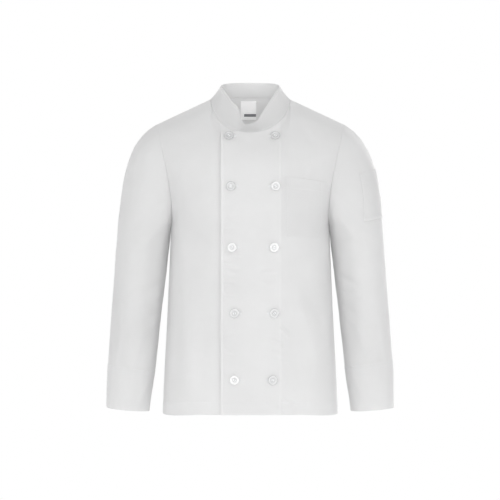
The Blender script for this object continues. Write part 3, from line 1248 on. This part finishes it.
# Cotton and polyester twill, bleached, pressed and a little soft with wear. The diagonal ribs of the
# weave are drawn at 1.1 mm, twice their real pitch, so that they don't flicker.
def twillMaterial(name, colorCode, ribPitch=1.1, ribDepth=0.05, seeThrough=0.46):
    material, tree, shader = newMaterial(name, {
        "Roughness": 0.85, "Specular IOR Level": 0.25, "Sheen Weight": 1.0, "Sheen Roughness": 0.5})
    uv = addNode(tree, "ShaderNodeUVMap", dict(uv_map="cloth")).outputs["UV"]
    turned = addNode(tree, "ShaderNodeMapping", values={"Rotation": (0, 0, math.radians(63))},
                     links={"Vector": uv}).outputs["Vector"]
    bands = dict(wave_type="BANDS", bands_direction="X", wave_profile="SIN")
    ribs = addNode(tree, "ShaderNodeTexWave", bands,
                   {"Scale": 0.314 / (ribPitch * mm), "Distortion": 1.5, "Detail": 2.0, "Detail Scale": 1.6},
                   {"Vector": turned}).outputs["Fac"]  # at scale 1 a band is 0.314 m wide
    slubs = addNode(tree, "ShaderNodeTexNoise", values={"Scale": 420.0, "Detail": 3.0, "Roughness": 0.6},
                    links={"Vector": uv}).outputs["Fac"]
    height = addNode(tree, "ShaderNodeMix", dict(data_type="FLOAT"), {"Factor": 0.35}, {"A": ribs, "B": slubs})
    bump = addNode(tree, "ShaderNodeBump", values={"Strength": 0.35, "Distance": ribDepth * mm},
                   links={"Height": height.outputs["Result"]}).outputs["Normal"]

    def tone(value, low, **reach):  # a factor from low to 1 on the colour
        values = {"From " + end: limit for end, limit in reach.items()}
        return addNode(tree, "ShaderNodeMapRange", values={**values, "To Min": low, "To Max": 1.0},
                       links={"Value": value}).outputs["Result"]
    wear = addNode(tree, "ShaderNodeTexNoise", values={"Scale": 9.0, "Detail": 4.0, "Roughness": 0.55},
                   links={"Vector": addNode(tree, "ShaderNodeTexCoord").outputs["Object"]}).outputs["Fac"]
    doubled = addNode(tree, "ShaderNodeAttribute", dict(attribute_name="doubled")).outputs["Fac"]
    wornTone = addNode(tree, "ShaderNodeMath", dict(operation="MULTIPLY"),
                       links={0: tone(wear, 0.965, Min=0.3, Max=0.7), 1: tone(doubled, 0.95)}).outputs["Value"]
    allTones = addNode(tree, "ShaderNodeMath", dict(operation="MULTIPLY"),
                       links={0: wornTone, 1: tone(ribs, 0.975)})
    tinted = addNode(tree, "ShaderNodeVectorMath", dict(operation="SCALE"), {0: linearColor(colorCode)[:3]},
                     {"Scale": allTones.outputs["Value"]}).outputs["Vector"]
    tree.links.new(tinted, shader.inputs["Base Color"])
    tree.links.new(bump, shader.inputs["Normal"])
    letLightThrough(tree, shader, seeThrough, Color=tinted, Normal=bump)
    return material


whiteTwill = twillMaterial("white_cotton_twill_woven", "#f1f1f1")
for piece in (frontOver, frontUnder, backPiece, sleeveLeft, sleeveRight, chestPocket, sleevePocket):
    piece.data.materials.append(whiteTwill)

# The collar is stiffened, so it lets less light through, and has a finer, whiter facing inside
for material in (twillMaterial("white_cotton_twill_interlined", "#e2e2e2", seeThrough=0.4),
                 twillMaterial("white_cotton_lawn_woven", "#fafafa", ribPitch=0.8, seeThrough=0.6)):
    collarPiece.data.materials.append(material)
for polygon in collarPiece.data.polygons:
    if polygon.normal.x * polygon.center.x + polygon.normal.y * polygon.center.y < 0:
        polygon.material_index = 1

# A label of bleached satin ribbon, smooth and a little glossy, with a plain grey bar woven in. The small
# emission is its optical brightener.
ribbonCut = dict(bar=dict(X=(-17.5, 10.5), Y=(6.2, 12.5)), edge=0.3)
ribbon, ribbonTree, ribbonShader = newMaterial("white_satin_ribbon_woven", {
    "Roughness": 0.4, "Specular IOR Level": 0.8, "Emission Strength": 0.12})
ribbonUv = addNode(ribbonTree, "ShaderNodeSeparateXYZ", links={
    "Vector": addNode(ribbonTree, "ShaderNodeUVMap", dict(uv_map="cloth")).outputs["UV"]})
ribbonParts = []
for axis, (start, end) in ribbonCut["bar"].items():
    middle = addNode(ribbonTree, "ShaderNodeMath", dict(operation="SUBTRACT"), {1: (start + end) / 2 * mm},
                     {0: ribbonUv.outputs[axis]})
    away = addNode(ribbonTree, "ShaderNodeMath", dict(operation="ABSOLUTE"), links={0: middle.outputs["Value"]})
    within, past = ((end - start) / 2 + sign * ribbonCut["edge"] for sign in (-1, 1))
    ribbonParts.append(addNode(ribbonTree, "ShaderNodeMapRange", dict(clamp=True), {
        "From Min": within * mm, "From Max": past * mm, "To Min": 1.0, "To Max": 0.0},
        {"Value": away.outputs["Value"]}).outputs["Result"])
ribbonBar = addNode(ribbonTree, "ShaderNodeMath", dict(operation="MULTIPLY"),
                    links={0: ribbonParts[0], 1: ribbonParts[1]}).outputs["Value"]
ribbonColor = addNode(ribbonTree, "ShaderNodeMix", dict(data_type="RGBA"), {
    "A": linearColor("#fdfdfd"), "B": linearColor("#85878a")}, {"Factor": ribbonBar}).outputs["Result"]
for socket in ("Base Color", "Emission Color"):
    ribbonTree.links.new(ribbonColor, ribbonShader.inputs[socket])
letLightThrough(ribbonTree, ribbonShader, 0.2, Color=ribbonColor)
label.data.materials.append(ribbon)

# Mother-of-pearl white moulded polyester with a polished rim. Tone goes from a grey pearl to a clear white.
pearl, pearlTree, pearlShader = newMaterial("pearl_polyester_moulded", {
    "Roughness": 0.34, "Coat Weight": 0.15, "Coat Roughness": 0.1})
pearlTone = addNode(pearlTree, "ShaderNodeAttribute", dict(attribute_name="tone")).outputs["Fac"]
swirl = addNode(pearlTree, "ShaderNodeTexNoise", values={"Scale": 160.0, "Detail": 3.0, "Distortion": 1.2},
                links={"Vector": addNode(pearlTree, "ShaderNodeTexCoord").outputs["Object"]}).outputs["Fac"]
cloudy = addNode(pearlTree, "ShaderNodeMath", dict(operation="MULTIPLY_ADD"), {1: 0.16, 2: -0.08}, {0: swirl})
pearlShare = addNode(pearlTree, "ShaderNodeMath", dict(operation="ADD", use_clamp=True),
                     links={0: cloudy.outputs["Value"], 1: pearlTone}).outputs["Value"]
pearlColor = addNode(pearlTree, "ShaderNodeMix", dict(data_type="RGBA"), {
    "A": linearColor("#a2a3a4"), "B": linearColor("#e4e4e4")}, {"Factor": pearlShare}).outputs["Result"]
pearlTree.links.new(pearlColor, pearlShader.inputs["Base Color"])

# Spun polyester sewing thread, a little brighter than the cloth
sewingThread, _, _ = newMaterial("white_polyester_thread_spun", {
    "Base Color": linearColor("#eff0f1"), "Roughness": 0.6})

for node, piece in buttons.items():
    for material in (pearl, sewingThread):
        piece.data.materials.append(material)
    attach(piece, "root")
    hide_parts(node)

stitching = stitchPiece("stitching_thread", sewingThread)
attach(stitching, "root")
print("stitches:", len(stitches["place"]), "triangles", trianglesOf(stitching))

# Each sheet's cut: its width and length, its area where that isn't their product, what holds it, and
# what it hangs from
sheets = {
    "front_over": (frontOver, (0.357, 0.746), 0.210, "hung", ["sleeve_left_cloth", "back_cloth"]),
    "front_under": (frontUnder, (0.357, 0.746), 0.209, "hung", ["sleeve_right_cloth", "back_cloth"]),
    "back": (backPiece, (0.525, 0.756), 0.341, "hung", ["collar_cloth"]),
    "collar": (collarPiece, (0.52, 0.063), 0.0213, "stretched",
               ["front_over_cloth", "front_under_cloth", "back_cloth"]),
    "sleeve_left": (sleeveLeft, (0.50, 0.67), 0.219, "hung", ["front_over_cloth", "back_cloth"]),
    "sleeve_right": (sleeveRight, (0.50, 0.67), 0.218, "hung", ["front_under_cloth", "back_cloth"]),
    "chest_pocket": (chestPocket, (0.117, 0.131), 0.0138, "stretched", ["front_over_cloth"]),
    "sleeve_pocket": (sleevePocket, (0.132, 0.112), 0.0146, "stretched", ["sleeve_left_cloth"]),
    "neck_label": (label, (0.035, 0.040), None, "hung", ["back_cloth"]),
}
for node, (piece, flatSize, cutArea, held, restsOn) in sheets.items():
    area = sum(p.area for p in piece.data.polygons) / 2
    print(f"{node}: {area:.4f} square metres, {trianglesOf(piece)} triangles")
    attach(piece, "root")
    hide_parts(node)


# Floor, camera and light

def placeLamp(name, energy, at, towards, size):
    data = bpy.data.lights.new(name, "AREA")
    data.energy, data.shape, data.size = energy, "DISK", size
    lamp = newObject(name, data)
    lamp.location = at
    lamp.rotation_euler = (Vector(towards) - Vector(at)).to_track_quat("-Z", "Y").to_euler()


floorMesh = bpy.data.meshes.new("studio_floor")
disc = bmesh.new()
bmesh.ops.create_circle(disc, cap_ends=True, segments=96, radius=3.2)
disc.to_mesh(floorMesh)
disc.free()
floor = newObject("studio_floor", floorMesh)
floor.location = (0, 0, -1.6)
# matt uncoated paper, so that the floor has no gloss
paper, _, _ = newMaterial("pale_paper_floor", {"Base Color": linearColor("#f2f2f2"), "Roughness": 0.9})
floorMesh.materials.append(paper)

# watts, place and width of each lamp, and the world's brightness below and above
lamps = dict(key=(12, (2.3, -1.9, 0.0), 1.4), front=(42, (0.25, -3.9, 0.0), 2.4),
             fill=(12, (-2.3, -1.9, -0.2), 1.4), back=(42, (1.5, 3.0, 1.1), 1.0))
worldLow, worldHigh = 1.03, 0.81
for name, (energy, place, size) in lamps.items():
    placeLamp(name + "_light", energy, place, (0, 0, -0.34), size)

world = bpy.data.worlds.new("white_studio")
bpy.context.scene.world = world
world.use_nodes = True
worldTree = world.node_tree
worldTree.nodes.clear()
lightPath = addNode(worldTree, "ShaderNodeLightPath")
seen = addNode(worldTree, "ShaderNodeBackground", values={"Color": (1, 1, 1, 1), "Strength": 1.0})
direction = addNode(worldTree, "ShaderNodeTexCoord").outputs["Generated"]
towardsSky = addNode(worldTree, "ShaderNodeSeparateXYZ", links={"Vector": direction}).outputs["Z"]
strength = addNode(worldTree, "ShaderNodeMapRange", values={
    "From Min": -0.6, "From Max": 0.8, "To Min": worldLow, "To Max": worldHigh},
    links={"Value": towardsSky}).outputs["Result"]
felt = addNode(worldTree, "ShaderNodeBackground", values={"Color": (1, 1, 1, 1)}, links={"Strength": strength})
chosen = addNode(worldTree, "ShaderNodeMixShader", links={
    "Fac": lightPath.outputs["Is Camera Ray"], 1: felt.outputs["Background"], 2: seen.outputs["Background"]})
addNode(worldTree, "ShaderNodeOutputWorld", links={"Surface": chosen.outputs["Shader"]})
bpy.context.scene.view_settings.view_transform = "Standard"

cameraData = bpy.data.cameras.new("photo_camera")
cameraData.sensor_width = 36
cameraData.lens = 135.8
cameraData.dof.use_dof = False
camera = newObject("photo_camera", cameraData)
camera.location = (-0.0005, -4.3, -0.3397)
camera.rotation_euler = (math.radians(90), 0, 0)
bpy.context.scene.camera = camera
